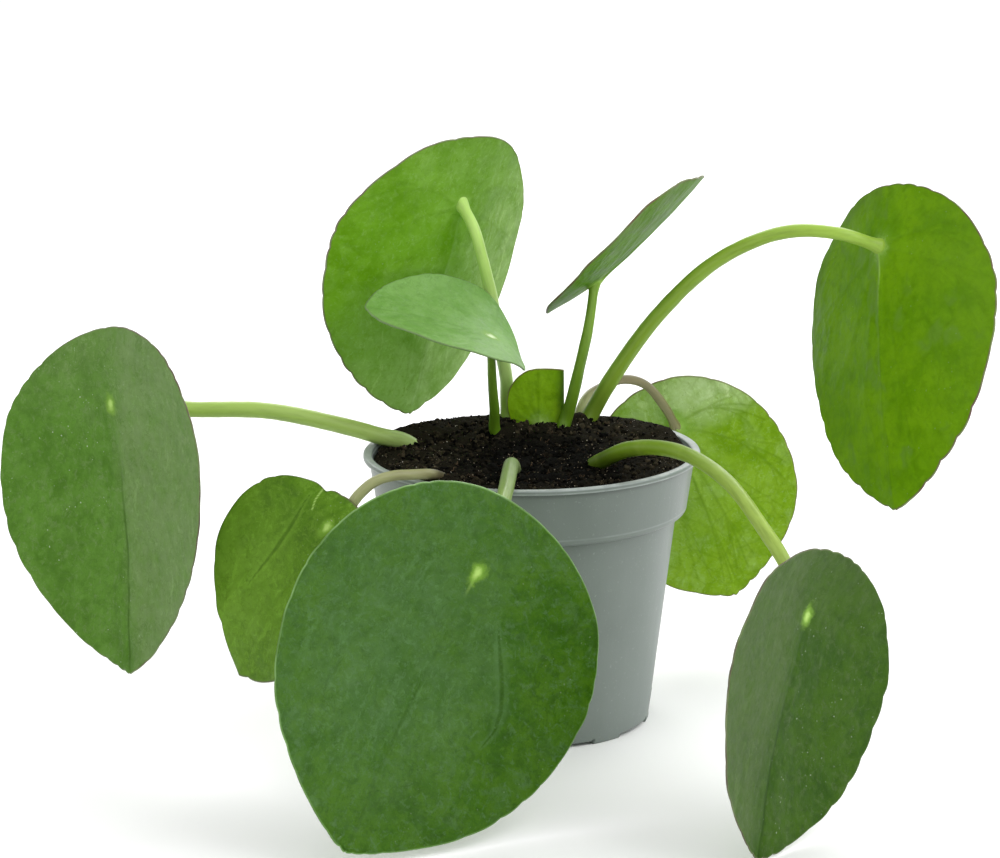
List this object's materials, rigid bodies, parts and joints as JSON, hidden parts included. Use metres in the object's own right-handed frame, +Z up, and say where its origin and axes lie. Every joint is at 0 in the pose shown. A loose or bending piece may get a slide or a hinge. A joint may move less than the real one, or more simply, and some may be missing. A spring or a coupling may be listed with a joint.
{
  "type": "potted chinese money plant",
  "caption": "Houseplant with round leaves, each on its own arching stem, growing from soil in a tapered plastic nursery pot.",
  "frame": {"origin": "centre of the pot's underside, on the surface the pot stands on", "axes": "+Z up; -Y towards the front, where the largest leaf hangs; +X to the right seen from the front"},
  "size_m": [0.3075, 0.2268, 0.1809],
  "materials": {
    "pot_plastic": "satin grey-green moulded plastic",
    "soil": "dark moist peat with fibres and pale specks",
    "main_stem": "brown bark",
    "leaf": "satin green leaf, darker above and brighter below",
    "leaf_stem": "smooth yellow-green leaf stem"
  },
  "bodies": {
    "root": {"pot": "pot_plastic", "soil": "soil", "main_stem": "main_stem", "leaf_left": "leaf", "leaf_stem_left": "leaf_stem", "leaf_low_left": "leaf", "leaf_stem_low_left": "leaf_stem", "leaf_front": "leaf", "leaf_stem_front": "leaf_stem", "leaf_low_right": "leaf", "leaf_stem_low_right": "leaf_stem", "leaf_right": "leaf", "leaf_stem_right": "leaf_stem", "leaf_back_left": "leaf", "leaf_stem_back_left": "leaf_stem", "leaf_back_right": "leaf", "leaf_stem_back_right": "leaf_stem", "leaf_up_right": "leaf", "leaf_stem_up_right": "leaf_stem", "leaf_small": "leaf", "leaf_stem_small": "leaf_stem", "leaf_young": "leaf", "leaf_stem_young": "leaf_stem"}
  },
  "joints": []
}
